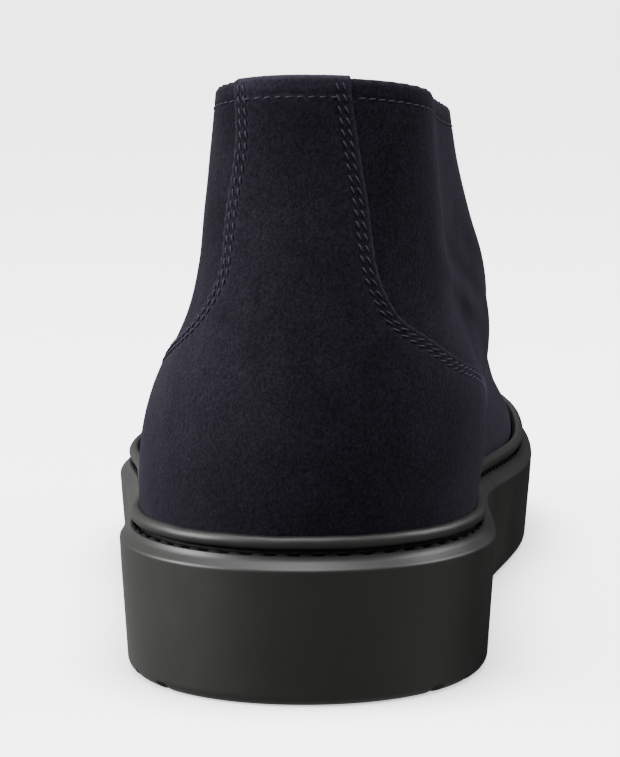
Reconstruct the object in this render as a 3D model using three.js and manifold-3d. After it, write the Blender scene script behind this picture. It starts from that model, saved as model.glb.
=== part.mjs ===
// Chukka boot for the left foot: suede upper with a stitched back panel, on a thick rubber cup sole with a rolled welt.
// Millimetres. +Y points to the toe, +X to the inner (medial) side of the foot, +Z up.
// The origin is on the floor, under the middle of the boot's footprint.
import * as THREE from "three";
import { mergeVertices } from "three/addons/utils/BufferGeometryUtils.js";
import Module from "manifold-3d";

const wasm = await Module();
wasm.setup();

// ---------------------------------------------------------------- driving dimensions
const soleLength = 304;
const gap = 0.3; // between pieces that touch
const upperWall = 2.6; // suede, interlining and lining together
const panelThickness = 1.0; // the back panel is one layer of suede

const rim = { heel: 33, ball: 26.9, toe: 32.2, flatTo: 60, ballAt: 200 }; // height of the sole's top ledge
const cupDepth = 5; // from the ledge down to the floor of the cup
const toeSpring = { from: 218, rise: 9 };

// The sole's edge in section: how far each line stands out from the upper, and its height.
const sole = { ledge: 1.9, edge: 5.6, chamferDrop: 2.9, taper: 1.7, bottomRadius: 2.6 };
const welt = { fit: 0.5, base: 1.9, reach: 3.2, height: 4.2, neck: 1.1 };
const insole = { thickness: 3.8 };
const tread = { depth: 1.8, groove: 3.2, heelFrom: 16, heelTo: 88, foreFrom: 158, foreTo: 262, pitch: 12 };
const waistArch = { from: 98, to: 148, depth: 1.4 };

const throat = { fromRow: 7, halfGap: [4, 9] }; // the opening up the instep, narrow at its foot and wide at the collar
const eyelets = { rows: [7.7, 8.7, 9.6], fromEdge: 8, radius: 1.8 };
const tongue = { fromRow: 6.3, toRow: 10.25, halfTurn: 0.6, clearance: 0.5, thickness: 2 };
const lace = { width: 4.6, thickness: 1.5, clearance: 0.5 };

// ---------------------------------------------------------------- the last's sections
// Each row is one section of the upper, a tilted plane from the heel's back to the toe, the vamp or the instep.
// back, front: distance from the sole's heel end; out, in: half widths on the outer and inner side of the foot.
const sectionColumns = ["back", "backZ", "front", "frontZ", "heelOut", "heelIn", "waistOut", "waistIn", "ballOut", "ballIn"];
const sections = [
  [5.6, 28.0, 298.3, 27.2, 37.4, 38.0, 43.5, 36.5, 52.6, 47.5],
  [5.6, 35.2, 298.3, 35.7, 37.4, 38.0, 43.5, 36.5, 52.6, 47.5],
  [4.4, 45.2, 296.8, 46.2, 37.3, 39.3, 41.5, 38.0, 49.6, 42.8],
  [4.0, 55.2, 288.5, 55.7, 36.3, 40.2, 38.6, 39.6, 45.8, 40.2],
  [4.6, 65.2, 268.0, 62.7, 33.7, 39.6, 35.0, 41.0, 40.2, 38.8],
  [6.0, 74.2, 238.0, 70.2, 30.0, 37.0, 31.4, 41.4, 35.2, 37.8],
  [8.0, 84.2, 206.0, 79.7, 26.0, 33.0, 28.0, 40.8, 30.8, 36.6],
  [10.5, 95.2, 178.0, 90.2, 24.0, 31.0, 25.9, 38.6, 27.4, 34.2],
  [12.6, 107.2, 157.0, 102.7, 23.2, 29.4, 24.4, 35.2, 25.0, 31.3],
  [14.2, 121.2, 140.0, 116.2, 21.5, 27.9, 22.8, 32.2, 22.6, 28.7],
  [15.2, 135.5, 126.0, 129.2, 20.2, 26.9, 21.4, 30.4, 20.8, 26.8],
].map((row) => Object.fromEntries(sectionColumns.map((name, i) => [name, row[i]])));
const topline = sections.length - 1;

const stations = { heel: 0.16, waist: 0.4, ballOut: 0.64, ballIn: 0.7 }; // share of a section's length
const heelRound = { share: 0.16, power: 2.1 };
const toeRound = { share: 0.31, power: 2.25 };
const toeSwing = 7; // the toe's tip lies this far to the inner side
const shaftLean = 1.5; // the topline's middle lies this far to the inner side
const toplineScoop = { out: 5, in: 6 }; // the topline's dip at each side

// The edge of the back panel, as a turn from the heel's back at each row. It starts just over the welt.
const seamColumns = ["row", "in", "out"];
const panelSeam = [
  [1.34, 1.24, 1.24],
  [2.2, 1.19, 1.2],
  [3.2, 1.1, 1.14],
  [4, 0.93, 1.05],
  [4.6, 0.74, 0.94],
  [5, 0.595, 0.79],
  [5.5, 0.48, 0.64],
  [6, 0.365, 0.535],
  [7, 0.285, 0.43],
  [8, 0.262, 0.42],
  [9, 0.225, 0.4],
  [10, 0.195, 0.45],
].map((row) => Object.fromEntries(seamColumns.map((name, i) => [name, row[i]])));

const smooth = (t) => {
  const c = THREE.MathUtils.clamp(t, 0, 1);
  return c * c * (3 - 2 * c);
};
const lerp = THREE.MathUtils.lerp;
const hermite = (t, a, b, slopeA, slopeB) => (2 * t ** 3 - 3 * t ** 2 + 1) * a + (t ** 3 - 2 * t ** 2 + t) * slopeA
  + (3 * t ** 2 - 2 * t ** 3) * b + (t ** 3 - t ** 2) * slopeB;

// A column of the section table at a whole or broken row number, as a smooth curve through the rows.
function column(name, row) {
  const last = sections.length - 1;
  const i = THREE.MathUtils.clamp(Math.floor(row), 0, last - 1);
  const value = (n) => sections[THREE.MathUtils.clamp(n, 0, last)][name];
  const slope = (n) => {
    const [before, after] = [value(n) - value(n - 1), value(n + 1) - value(n)];
    if (n <= 0 || n >= last) return before + after;
    return before * after > 0 ? (before + after) / 2 : 0;
  };
  const t = row - i;
  if (t > 1) return value(last) + slope(last) * (t - 1);
  return hermite(t, value(i), value(i + 1), slope(i), slope(i + 1));
}

const rimDip = (fromHeel) => fromHeel < rim.ballAt
  ? smooth((fromHeel - rim.flatTo) / (rim.ballAt - rim.flatTo))
  : 1 - smooth((fromHeel - rim.ballAt) / (soleLength - rim.ballAt));
const rimZ = (fromHeel) => lerp(rim.heel, rim.toe, fromHeel / soleLength)
  - rimDip(fromHeel) * (lerp(rim.heel, rim.toe, rim.ballAt / soleLength) - rim.ball);

// How far a section has rounded in at its two ends, from 0 at the tip to 1.
function ends(u) {
  const round = (share, power) => (1 - (1 - Math.min(share, 1)) ** power) ** (1 / power);
  return round(u / heelRound.share, heelRound.power) * round((1 - u) / toeRound.share, toeRound.power);
}

// The half width through the heel, waist and ball, as a curve that is level at the heel and the ball.
function halfWidth(row, side, u) {
  const at = [stations.heel, stations.waist, stations[`ball${side}`]];
  const width = ["heel", "waist", "ball"].map((name) => column(name + side, row));
  const middleSlope = (width[2] - width[0]) / (at[2] - at[0]);
  const part = u < at[1] ? 0 : 1;
  const span = at[part + 1] - at[part];
  const t = THREE.MathUtils.clamp((u - at[part]) / span, 0, 1);
  const slope = part ? [middleSlope, 0] : [0, middleSlope];
  return ends(u) * hermite(t, width[part], width[part + 1], slope[0] * span, slope[1] * span);
}

// A point of the upper's outer face. turn runs from 0 at the heel's back, by the inner side, to pi at the toe or instep.
function facePoint(row, turn) {
  const u = (1 - Math.cos(turn)) / 2;
  const inner = Math.sin(turn) >= 0;
  const fromHeel = lerp(column("back", row), column("front", row), u);
  const lean = shaftLean * smooth((row - 3) / (topline - 3));
  const swing = toeSwing * Math.max(0, (u - 0.5) / 0.5) ** 2 * (1 - smooth((row - 3) / 4));
  const x = lean + swing + (inner ? 1 : -1) * halfWidth(row, inner ? "In" : "Out", u);
  const scoop = (inner ? toplineScoop.in : toplineScoop.out) * Math.max(0, row / topline) ** 4 * Math.sin(Math.PI * u);
  const line = lerp(rim.heel, rim.toe, fromHeel / soleLength);
  const dip = (rimZ(fromHeel) - line) * (1 - smooth(row / 5));
  const z = lerp(column("backZ", row), column("frontZ", row), u) + dip - scoop;
  return new THREE.Vector3(x, fromHeel - soleLength / 2, z);
}

// The same point moved out along the face's normal.
function upperPoint(row, turn, out = 0) {
  const point = facePoint(row, turn);
  if (!out) return point;
  const step = 0.02;
  const around = facePoint(row, turn + step).sub(facePoint(row, turn - step));
  const up = facePoint(row + step, turn).sub(facePoint(Math.max(row - step, 0), turn));
  return point.addScaledVector(around.cross(up).normalize(), out);
}

// ---------------------------------------------------------------- mesh helpers
// A closed body from rings of points: each ring joins the next, and the last joins the first.
function ringsToGeometry(rings) {
  const count = rings[0].length;
  const position = rings.flat().flatMap((p) => [p.x, p.y, p.z]);
  const index = [];
  rings.forEach((_, r) => {
    const [a, b] = [r * count, ((r + 1) % rings.length) * count];
    for (let i = 0; i < count; i++) {
      const j = (i + 1) % count;
      index.push(a + i, a + j, b + j, a + i, b + j, b + i);
    }
  });
  return indexed(position, index);
}

// A closed slab between an outer and an inner grid of points.
function slabGeometry(outer, inner) {
  const rows = outer.length;
  const count = outer[0].length;
  const loop = (grid) => [
    ...grid[0],
    ...grid.slice(1, -1).map((row) => row[count - 1]),
    ...[...grid[rows - 1]].reverse(),
    ...grid.slice(1, -1).map((row) => row[0]).reverse(),
  ];
  const points = [...outer.flat(), ...inner.flat(), ...loop(outer), ...loop(inner)];
  const index = [];
  const base = rows * count;
  for (let r = 0; r < rows - 1; r++) {
    for (let i = 0; i < count - 1; i++) {
      const [a, b] = [r * count + i, (r + 1) * count + i];
      index.push(a, a + 1, b + 1, a, b + 1, b);
      index.push(base + a, base + b + 1, base + a + 1, base + a, base + b, base + b + 1);
    }
  }
  const edge = loop(outer).length;
  for (let i = 0; i < edge; i++) {
    const j = (i + 1) % edge;
    const [a, b] = [2 * base + i, 2 * base + j];
    index.push(a, b + edge, b, a, a + edge, b + edge);
  }
  return indexed(points.flatMap((p) => [p.x, p.y, p.z]), index);
}

function indexed(position, index) {
  const geometry = new THREE.BufferGeometry();
  geometry.setAttribute("position", new THREE.Float32BufferAttribute(position, 3));
  geometry.setIndex(index);
  return mergeVertices(geometry, 1e-4);
}

function solidOf(geometry) {
  const bare = geometry.clone();
  ["normal", "uv"].forEach((name) => bare.deleteAttribute(name));
  const merged = mergeVertices(bare, 1e-4);
  const mesh = new wasm.Mesh({
    numProp: 3,
    vertProperties: merged.attributes.position.array,
    triVerts: new Uint32Array(merged.index.array),
  });
  return new wasm.Manifold(mesh);
}

function geometryOf(solid) {
  const mesh = solid.getMesh();
  return indexed(Array.from(mesh.vertProperties), Array.from(mesh.triVerts));
}

// ---------------------------------------------------------------- rings that follow the upper's foot
const outlineCount = 48;
const turns = Array.from({ length: outlineCount }, (_, i) => (2 * Math.PI * i) / outlineCount);

// The upper's outline at its foot, moved out level by a distance; its height comes from a function of fromHeel.
function outlineRing(out, heightAt) {
  return turns.map((turn) => {
    const step = 0.02;
    const point = facePoint(0, turn);
    const along = facePoint(0, turn + step).sub(facePoint(0, turn - step)).setZ(0).normalize();
    point.addScaledVector(new THREE.Vector3(along.y, -along.x, 0), out);
    return point.setZ(heightAt(point.y + soleLength / 2));
  });
}

// A ring closed by strips that run straight across the foot.
function acrossFoot(ring, facing) {
  const index = [];
  const n = ring.length;
  for (let i = 0; i < n / 2; i++) {
    const [a, b, c, d] = [i, i + 1, n - i - 1, (n - i) % n];
    const faces = [[a, b, d], [b, c, d]].filter((face) => new Set(face).size === 3);
    faces.forEach((face) => index.push(...(facing > 0 ? face : face.reverse())));
  }
  return index;
}

// A solid between stacked rings, closed above and below.
function stackGeometry(rings) {
  const n = rings[0].length;
  const index = [];
  for (let r = 0; r < rings.length - 1; r++) {
    for (let i = 0; i < n; i++) {
      const j = (i + 1) % n;
      const [a, b] = [r * n, (r + 1) * n];
      index.push(a + i, a + j, b + j, a + i, b + j, b + i);
    }
  }
  index.push(...acrossFoot(rings[0], -1));
  index.push(...acrossFoot(rings.at(-1), 1).map((i) => i + (rings.length - 1) * n));
  return indexed(rings.flat().flatMap((p) => [p.x, p.y, p.z]), index);
}

// ---------------------------------------------------------------- the pieces
const groundZ = (fromHeel) => toeSpring.rise * Math.max(0, (fromHeel - toeSpring.from) / (soleLength - toeSpring.from)) ** 2;

function outsole() {
  const { ledge, edge, chamferDrop, taper, bottomRadius } = sole;
  const foot = edge - taper;
  const corner = [0, 30, 60, 90].map((degrees) => THREE.MathUtils.degToRad(degrees));
  const rings = corner.map((angle) => outlineRing(
    foot - bottomRadius * (1 - Math.sin(angle)),
    (d) => groundZ(d) + bottomRadius * (1 - Math.cos(angle)),
  ));
  rings.push(outlineRing(edge - taper * 0.25, (d) => lerp(groundZ(d), rimZ(d), 0.62)));
  rings.push(outlineRing(edge, (d) => rimZ(d) - chamferDrop));
  rings.push(outlineRing(ledge, rimZ));
  rings.push(outlineRing(gap, rimZ));
  rings.push(outlineRing(gap, (d) => rimZ(d) - cupDepth - gap));
  let solid = solidOf(stackGeometry(rings));
  const cut = (from, to, depth) => {
    const box = new THREE.BoxGeometry(soleLength, to - from, 2 * depth);
    box.translate(0, (from + to) / 2 - soleLength / 2, 0);
    solid = solid.subtract(solidOf(box));
  };
  cut(waistArch.from, waistArch.to, waistArch.depth);
  for (let at = tread.heelFrom; at < tread.heelTo; at += tread.pitch) cut(at, at + tread.groove, tread.depth);
  for (let at = tread.foreFrom; at < tread.foreTo; at += tread.pitch) {
    cut(at, at + tread.groove, tread.depth + groundZ(at));
  }
  return geometryOf(solid);
}

function weltRoll() {
  const { fit, base, reach, height, neck } = welt;
  const roll = (height - neck) / 2;
  const middle = neck + roll;
  const bulge = [-70, -35, 0, 35, 70, 105].map((degrees) => THREE.MathUtils.degToRad(degrees)).map((angle) => [
    reach - roll + roll * Math.cos(angle),
    middle + roll * Math.sin(angle),
  ]);
  const profile = [[fit, gap], [base, gap], ...bulge, [fit, height - roll * 0.5]];
  return ringsToGeometry(profile.map(([out, up]) => outlineRing(out, (d) => rimZ(d) + up)));
}

function insoleBoard() {
  const out = -upperWall - gap;
  const bottom = (d) => rimZ(d) - cupDepth;
  return stackGeometry([outlineRing(out, bottom), outlineRing(out, (d) => bottom(d) + insole.thickness)]);
}

// The turn at which a row lies a distance to one side of the instep's middle.
function turnBeside(row, side, distance) {
  const middle = facePoint(row, Math.PI).x;
  let [near, far] = [0, 1.2];
  for (let i = 0; i < 30; i++) {
    const half = (near + far) / 2;
    if (Math.abs(facePoint(row, Math.PI - side * half).x - middle) < distance) near = half;
    else far = half;
  }
  return Math.PI - side * near;
}

const gapAt = (row) => lerp(...throat.halfGap, (row - throat.fromRow) / (topline - throat.fromRow));
const spread = (from, to, count) => Array.from({ length: count + 1 }, (_, i) => lerp(from, to, i / count));

// A slab over part of the upper: rows by turns, between two distances from its face.
function shellGeometry(rows, turnsAt, outer, inner) {
  const grid = (out) => rows.map((row) => turnsAt(row).map((turn) => upperPoint(row, turn, out)));
  return slabGeometry(grid(outer), grid(inner));
}

function throatCutter() {
  const reach = 4;
  const rows = spread(throat.fromRow, topline + 0.5, 8);
  const turnsAt = (row) => spread(turnBeside(row, -1, gapAt(row)), turnBeside(row, 1, gapAt(row)), 4).reverse();
  return shellGeometry(rows, turnsAt, reach, -upperWall - reach);
}

function eyeletCutter(row, side) {
  const turn = turnBeside(row, side, gapAt(row) + eyelets.fromEdge);
  const direction = upperPoint(row, turn, 1).sub(upperPoint(row, turn));
  const cutter = new THREE.CylinderGeometry(eyelets.radius, eyelets.radius, 4 * upperWall, 8);
  cutter.applyQuaternion(new THREE.Quaternion().setFromUnitVectors(new THREE.Vector3(0, 1, 0), direction));
  cutter.translate(...upperPoint(row, turn, -upperWall / 2));
  return cutter;
}

const upperRows = spread(0, topline, 16);

// A closed band round the upper, between two distances from its face.
function bandSolid(rows, outer, inner) {
  const ring = (out) => (row) => turns.map((turn) => upperPoint(row, turn, out));
  return solidOf(ringsToGeometry([...rows.map(ring(outer)), ...rows.map(ring(inner)).reverse()]));
}

function upper() {
  let solid = bandSolid(upperRows, 0, -upperWall).subtract(solidOf(throatCutter()));
  eyelets.rows.forEach((row) => [1, -1].forEach((side) => {
    solid = solid.subtract(solidOf(eyeletCutter(row, side)));
  }));
  return geometryOf(solid);
}

function seamTurn(row, side) {
  const i = Math.max(1, panelSeam.findIndex((entry) => entry.row >= row));
  const [a, b] = [panelSeam[i - 1], panelSeam[i]];
  return lerp(a[side], b[side], (row - a.row) / (b.row - a.row));
}

// The panel is cut from a band that follows the upper's own facets.
function backPanel() {
  const rows = [...panelSeam.map((entry) => entry.row), topline + 0.2];
  const turnsAt = (row) => {
    const at = Math.min(row, topline);
    return spread(-seamTurn(at, "out"), seamTurn(at, "in"), 12);
  };
  const cutter = solidOf(shellGeometry(rows, turnsAt, 4 * panelThickness, -panelThickness));
  return geometryOf(bandSolid(upperRows.slice(1), gap + panelThickness, gap).intersect(cutter));
}

function tongueFlap() {
  const top = -upperWall - tongue.clearance;
  const rows = spread(tongue.fromRow, tongue.toRow, 8);
  const turnsAt = () => spread(Math.PI - tongue.halfTurn, Math.PI + tongue.halfTurn, 8);
  return shellGeometry(rows, turnsAt, top, top - tongue.thickness);
}

// One bar of the lace, from eyelet to eyelet over the throat.
function laceBar(row) {
  const half = lace.width / 2 / facePoint(row - 0.5, Math.PI).distanceTo(facePoint(row + 0.5, Math.PI));
  const reach = gapAt(row) + eyelets.fromEdge;
  const turnsAt = () => spread(turnBeside(row, 1, reach), turnBeside(row, -1, reach), 8);
  return shellGeometry([row - half, row, row + half], turnsAt, lace.clearance + lace.thickness, lace.clearance);
}

const boot = new THREE.Group();
function piece(name, geometry, colour, roughness) {
  const material = new THREE.MeshStandardMaterial({ color: colour, roughness, metalness: 0 });
  const mesh = new THREE.Mesh(geometry, material);
  mesh.name = name;
  boot.add(mesh);
  return mesh;
}

const suede = { colour: 0x16161f, roughness: 0.95 };
const rubber = { colour: 0x1b1c1b, roughness: 0.5 };
const lining = { colour: 0x2a2522, roughness: 0.8 };
const cord = { colour: 0x12131a, roughness: 0.9 };

const soleMesh = piece("outsole", outsole(), rubber.colour, rubber.roughness);
piece("welt", weltRoll(), rubber.colour, rubber.roughness);
piece("insole", insoleBoard(), lining.colour, lining.roughness);
piece("upper", upper(), suede.colour, suede.roughness);
piece("back_panel", backPanel(), suede.colour, suede.roughness);
piece("tongue", tongueFlap(), suede.colour, suede.roughness);
eyelets.rows.forEach((row, i) => piece(`lace_bar_${i + 1}`, laceBar(row), cord.colour, cord.roughness));

const footprint = new THREE.Box3().setFromObject(soleMesh).getCenter(new THREE.Vector3());
boot.position.set(-footprint.x, -footprint.y, 0);

export default boot;
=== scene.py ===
import math

import bpy
import numpy as np
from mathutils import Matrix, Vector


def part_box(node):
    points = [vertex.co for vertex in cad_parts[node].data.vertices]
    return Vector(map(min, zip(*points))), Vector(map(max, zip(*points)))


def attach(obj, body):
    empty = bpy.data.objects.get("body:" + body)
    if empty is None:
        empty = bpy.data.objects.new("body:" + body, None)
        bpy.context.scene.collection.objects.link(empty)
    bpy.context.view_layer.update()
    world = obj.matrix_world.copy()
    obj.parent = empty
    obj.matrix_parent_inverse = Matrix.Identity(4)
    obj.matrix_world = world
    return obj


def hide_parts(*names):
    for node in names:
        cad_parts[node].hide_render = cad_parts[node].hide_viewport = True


# Chukka boot for the left foot. +Y is the toe, +X the inner side of the foot. Lengths are in millimetres,
# but the lamps' places, aims and sizes are in metres, as the finished meshes are.
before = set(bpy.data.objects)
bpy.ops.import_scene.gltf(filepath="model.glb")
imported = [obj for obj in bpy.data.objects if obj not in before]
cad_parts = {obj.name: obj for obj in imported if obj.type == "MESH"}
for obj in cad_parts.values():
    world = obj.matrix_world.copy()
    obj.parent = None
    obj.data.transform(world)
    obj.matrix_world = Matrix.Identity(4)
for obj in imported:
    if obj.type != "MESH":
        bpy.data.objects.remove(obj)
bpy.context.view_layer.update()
print("frame loaded")

mm = 0.001
half = math.pi
full = 2 * math.pi

# the last: one row for each section of the upper, from the cup's floor to the collar
last = {
    "length": 304,
    "rim": {"heel": 33.0, "ball": 26.9, "toe": 32.2, "flatTo": 60, "ballAt": 200},
    "columns": (
        "back", "backZ", "front", "frontZ", "heelOut", "heelIn", "waistOut", "waistIn", "ballOut", "ballIn",
    ),
    "rows": (
        (5.6, 28.0, 298.3, 27.2, 37.4, 38.0, 43.5, 36.5, 52.6, 47.5),
        (5.6, 35.2, 298.3, 35.7, 37.4, 38.0, 43.5, 36.5, 52.6, 47.5),
        (4.4, 45.2, 296.8, 46.2, 37.3, 39.3, 41.5, 38.0, 49.6, 42.8),
        (4.0, 55.2, 288.5, 55.7, 36.3, 40.2, 38.6, 39.6, 45.8, 40.2),
        (4.6, 65.2, 268.0, 62.7, 33.7, 39.6, 35.0, 41.0, 40.2, 38.8),
        (6.0, 74.2, 238.0, 70.2, 30.0, 37.0, 31.4, 41.4, 35.2, 37.8),
        (8.0, 84.2, 206.0, 79.7, 26.0, 33.0, 28.0, 40.8, 30.8, 36.6),
        (10.5, 95.2, 178.0, 90.2, 24.0, 31.0, 25.9, 38.6, 27.4, 34.2),
        (12.6, 107.2, 157.0, 102.7, 23.2, 29.4, 24.4, 35.2, 25.0, 31.3),
        (14.2, 121.2, 140.0, 116.2, 21.5, 27.9, 22.8, 32.2, 22.6, 28.7),
        (15.2, 135.5, 126.0, 129.2, 20.2, 26.9, 21.4, 30.4, 20.8, 26.8),
    ),
    "stations": {"heel": 0.16, "waist": 0.4, "ballOut": 0.64, "ballIn": 0.7},
    "heelRound": (0.16, 2.1), "toeRound": (0.31, 2.25),
    "toeSwing": 7, "scoopOut": 5, "scoopIn": 6,
    "shaftLean": 1.5, "ankleRow": 3, "swingRows": 4, "dipRows": 5,
}
lastRows = np.array(last["rows"])
collarRow = len(lastRows) - 1


def smooth(t):
    t = np.clip(t, 0, 1)
    return t * t * (3 - 2 * t)


def ramp(value, start, span):
    return smooth((value - start) / span)


def blend(a, b, t):
    return a + (b - a) * t


def hermite(t, a, b, slopeA, slopeB):
    rise = (3 - 2 * t) * t * t
    return a + (b - a) * rise + (t - 2 * t ** 2 + t ** 3) * slopeA + (t ** 3 - t ** 2) * slopeB


def column(name, row):
    values = lastRows[:, last["columns"].index(name)]
    steps = np.diff(values)
    before, after = steps[:-1], steps[1:]
    inside = np.where(before * after > 0, (before + after) / 2, 0)
    slopes = np.concatenate((steps[:1], inside, steps[-1:]))
    i = np.clip(np.floor(row).astype(int), 0, collarRow - 1)
    t = row - i
    curve = hermite(np.minimum(t, 1), values[i], values[i + 1], slopes[i], slopes[i + 1])
    return np.where(t > 1, values[-1] + slopes[-1] * (t - 1), curve)


def rimLine(fromHeel):
    return blend(last["rim"]["heel"], last["rim"]["toe"], fromHeel / last["length"])


def rimHeight(fromHeel):
    rim = last["rim"]
    rise = smooth((fromHeel - rim["flatTo"]) / (rim["ballAt"] - rim["flatTo"]))
    fall = 1 - smooth((fromHeel - rim["ballAt"]) / (last["length"] - rim["ballAt"]))
    dip = np.where(fromHeel < rim["ballAt"], rise, fall)
    return rimLine(fromHeel) - dip * (rimLine(rim["ballAt"]) - rim["ball"])


def endRound(share, power):
    return (1 - (1 - np.minimum(share, 1)) ** power) ** (1 / power)


def halfWidth(row, side, u):
    stations = last["stations"]
    at = (stations["heel"], stations["waist"], stations["ball" + side])
    width = [column(name + side, row) for name in ("heel", "waist", "ball")]
    slope = (width[2] - width[0]) / (at[2] - at[0])
    spans = (at[1] - at[0], at[2] - at[1])
    rear = hermite(np.clip((u - at[0]) / spans[0], 0, 1), width[0], width[1], 0, slope * spans[0])
    fore = hermite(np.clip((u - at[1]) / spans[1], 0, 1), width[1], width[2], slope * spans[1], 0)
    heelShare, heelPower = last["heelRound"]
    toeShare, toePower = last["toeRound"]
    heelEnd = endRound(np.maximum(u, 0) / heelShare, heelPower)
    toeEnd = endRound(np.maximum(1 - u, 0) / toeShare, toePower)
    return heelEnd * toeEnd * np.where(u < at[1], rear, fore)


def rawFace(row, turn):
    row, turn = np.broadcast_arrays(np.asarray(row, float), np.asarray(turn, float))
    u = (1 - np.cos(turn)) / 2
    inner = np.sin(turn) >= 0
    fromHeel = blend(column("back", row), column("front", row), u)
    ankle = last["ankleRow"]
    lean = last["shaftLean"] * ramp(row, ankle, collarRow - ankle)
    swing = last["toeSwing"] * np.maximum(0, (u - 0.5) / 0.5) ** 2 * (1 - ramp(row, ankle, last["swingRows"]))
    x = lean + swing + np.where(inner, halfWidth(row, "In", u), -halfWidth(row, "Out", u))
    depth = np.where(inner, last["scoopIn"], last["scoopOut"])
    scoop = depth * np.maximum(0, row / collarRow) ** 4 * np.sin(np.pi * u)
    dip = (rimHeight(fromHeel) - rimLine(fromHeel)) * (1 - smooth(row / last["dipRows"]))
    z = blend(column("backZ", row), column("frontZ", row), u) + dip - scoop
    return np.stack([x, fromHeel, z], -1)


def normalise(vectors):
    return vectors / np.maximum(np.linalg.norm(vectors, axis=-1, keepdims=True), 1e-9)


def levelRing(turns, out):
    # the upper's outline at its foot, moved out level
    around = rawFace(0, turns + 0.02) - rawFace(0, turns - 0.02)
    side = normalise(np.stack([around[..., 1], -around[..., 0], np.zeros_like(turns)], -1))
    return rawFace(0, turns) + side * out


sole = {
    "ledge": 2.7, "edge": 5.6, "chamferDrop": 2.9, "taper": 1.7, "bottomRadius": 2.6,
    "toeSpringFrom": 218, "toeSpring": 9, "cupDepth": 5, "shoulder": 4.2,
    "grooveIn": 1.1, "grooveDepth": 1.7,
    "tread": {"depth": 1.8, "groove": 3.2, "pitch": 12, "runs": ((16, 88), (158, 262))},
    "arch": {"from": 98, "to": 148, "depth": 1.4},
}
fineTurns = np.linspace(0, full, 361)[:-1]
footprint = levelRing(fineTurns, sole["edge"])
cadCentre = np.mean(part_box("outsole"), axis=0) / mm
shift = cadCentre[:2] - (footprint[:, :2].min(0) + footprint[:, :2].max(0)) / 2
shift = np.append(shift, 0)

# soft creases of the suede, each between two points (row, turn) and a share of its length past them;
# a negative depth makes a swelling, and all fade out over two spans of rows, low and high
creaseRows = (1.4, 2.9), (8.4, 9.6)
creaseOver = 0.2
creases = [dict(zip(("start", "end", "depth", "width"), crease)) for crease in (
    ((7.4, 1.15), (4.6, 1.5), 1.3, 4.5),
    ((7.0, 1.5), (4.9, 1.85), -0.6, 5),
    ((6.3, 1.0), (4.7, 0.95), 0.5, 5),
    ((6.95, 0.74), (5.45, 1.18), -0.75, 3.4),
    ((7.35, 0.86), (5.75, 1.3), 0.7, 3.4),
    ((7.2, -1.2), (5.2, -1.65), 1.0, 5),
    ((6.4, -1.6), (4.6, -2.0), -0.5, 6),
    ((4.2, 2.35), (4.9, 3.0), 0.5, 4.5),
    ((4.4, -2.3), (4.6, -3.05), 0.6, 5),
    ((3.4, 2.2), (3.5, 2.75), 0.4, 5),
    ((3.5, -2.2), (3.4, -2.7), 0.4, 5),
    ((8.6, -0.75), (6.6, -0.85), 0.5, 6),
    ((6.6, 0.1), (6.2, -0.3), 0.35, 7),
)]


def creaseDepth(points):
    depth = np.zeros(points.shape[:-1])
    for crease in creases:
        a, b = rawFace(*crease["start"]), rawFace(*crease["end"])
        along = b - a
        t = np.clip(((points - a) @ along) / (along @ along), -creaseOver, 1 + creaseOver)
        away = np.linalg.norm(points - a - t[..., None] * along, axis=-1)
        fade = np.sin(np.pi * np.clip((t + creaseOver) / (1 + 2 * creaseOver), 0, 1))
        depth += crease["depth"] * fade * np.exp(-(away / crease["width"]) ** 2)
    return depth


def onUpper(row, turn, out=0, creased=True):
    # a point of the upper's face moved out along its normal, with the normal itself
    row, turn, out = np.broadcast_arrays(*(np.asarray(value, float) for value in (row, turn, out)))
    step = 0.02
    around = rawFace(row, turn + step) - rawFace(row, turn - step)
    up = rawFace(row + step, turn) - rawFace(np.maximum(row - step, 0), turn)
    normal = normalise(np.cross(around, up))
    face = rawFace(row, turn)
    if creased:
        (low, lowFull), (highFull, high) = creaseRows
        fade = smooth((row - low) / (lowFull - low)) * (1 - smooth((row - highFull) / (high - highFull)))
        out = out - creaseDepth(face) * fade
    return face + shift + normal * out[..., None], normal


# seams and edges on the upper, as (row, turn) curves on the inner side; the outer side has its own turns
seams = {
    "panelRow": (1.0, 1.34, 2.2, 3.2, 4, 4.6, 5, 5.5, 6, 7, 8, 9, 10, 10.4),
    "panelIn": (1.255, 1.24, 1.19, 1.1, 0.93, 0.74, 0.595, 0.48, 0.365, 0.285, 0.262, 0.225, 0.195, 0.195),
    "panelOut": (1.255, 1.24, 1.2, 1.14, 1.05, 0.94, 0.79, 0.64, 0.535, 0.43, 0.42, 0.4, 0.45, 0.46),
    "quarterRow": (2.9, 3.15, 3.75, 4.7, 5.7, 6.45, 6.78),
    "quarterTurn": (1.0, 1.18, 1.46, 1.74, 2.08, 2.55, 2.99),
    "underlap": 0.12, "throatRow": 6.72, "throatRound": 0.36, "gap": (4, 9), "gapRows": (7, 10),
}


def spline(at, knots, values):
    # a smooth curve through the values, without overshoot
    knots, values = np.array(knots, float), np.array(values, float)
    rates = np.diff(values) / np.diff(knots)
    before, after = rates[:-1], rates[1:]
    inside = np.where(before * after > 0, 2 * before * after / (before + after + 1e-12), 0)
    slopes = np.concatenate((rates[:1], inside, rates[-1:]))
    i = np.clip(np.searchsorted(knots, at, side="right") - 1, 0, len(knots) - 2)
    span = knots[i + 1] - knots[i]
    t = np.clip((at - knots[i]) / span, 0, 1)
    return hermite(t, values[i], values[i + 1], slopes[i] * span, slopes[i + 1] * span)


def panelTurn(row, side):
    return spline(row, seams["panelRow"], seams["panelIn" if side > 0 else "panelOut"])


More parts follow.
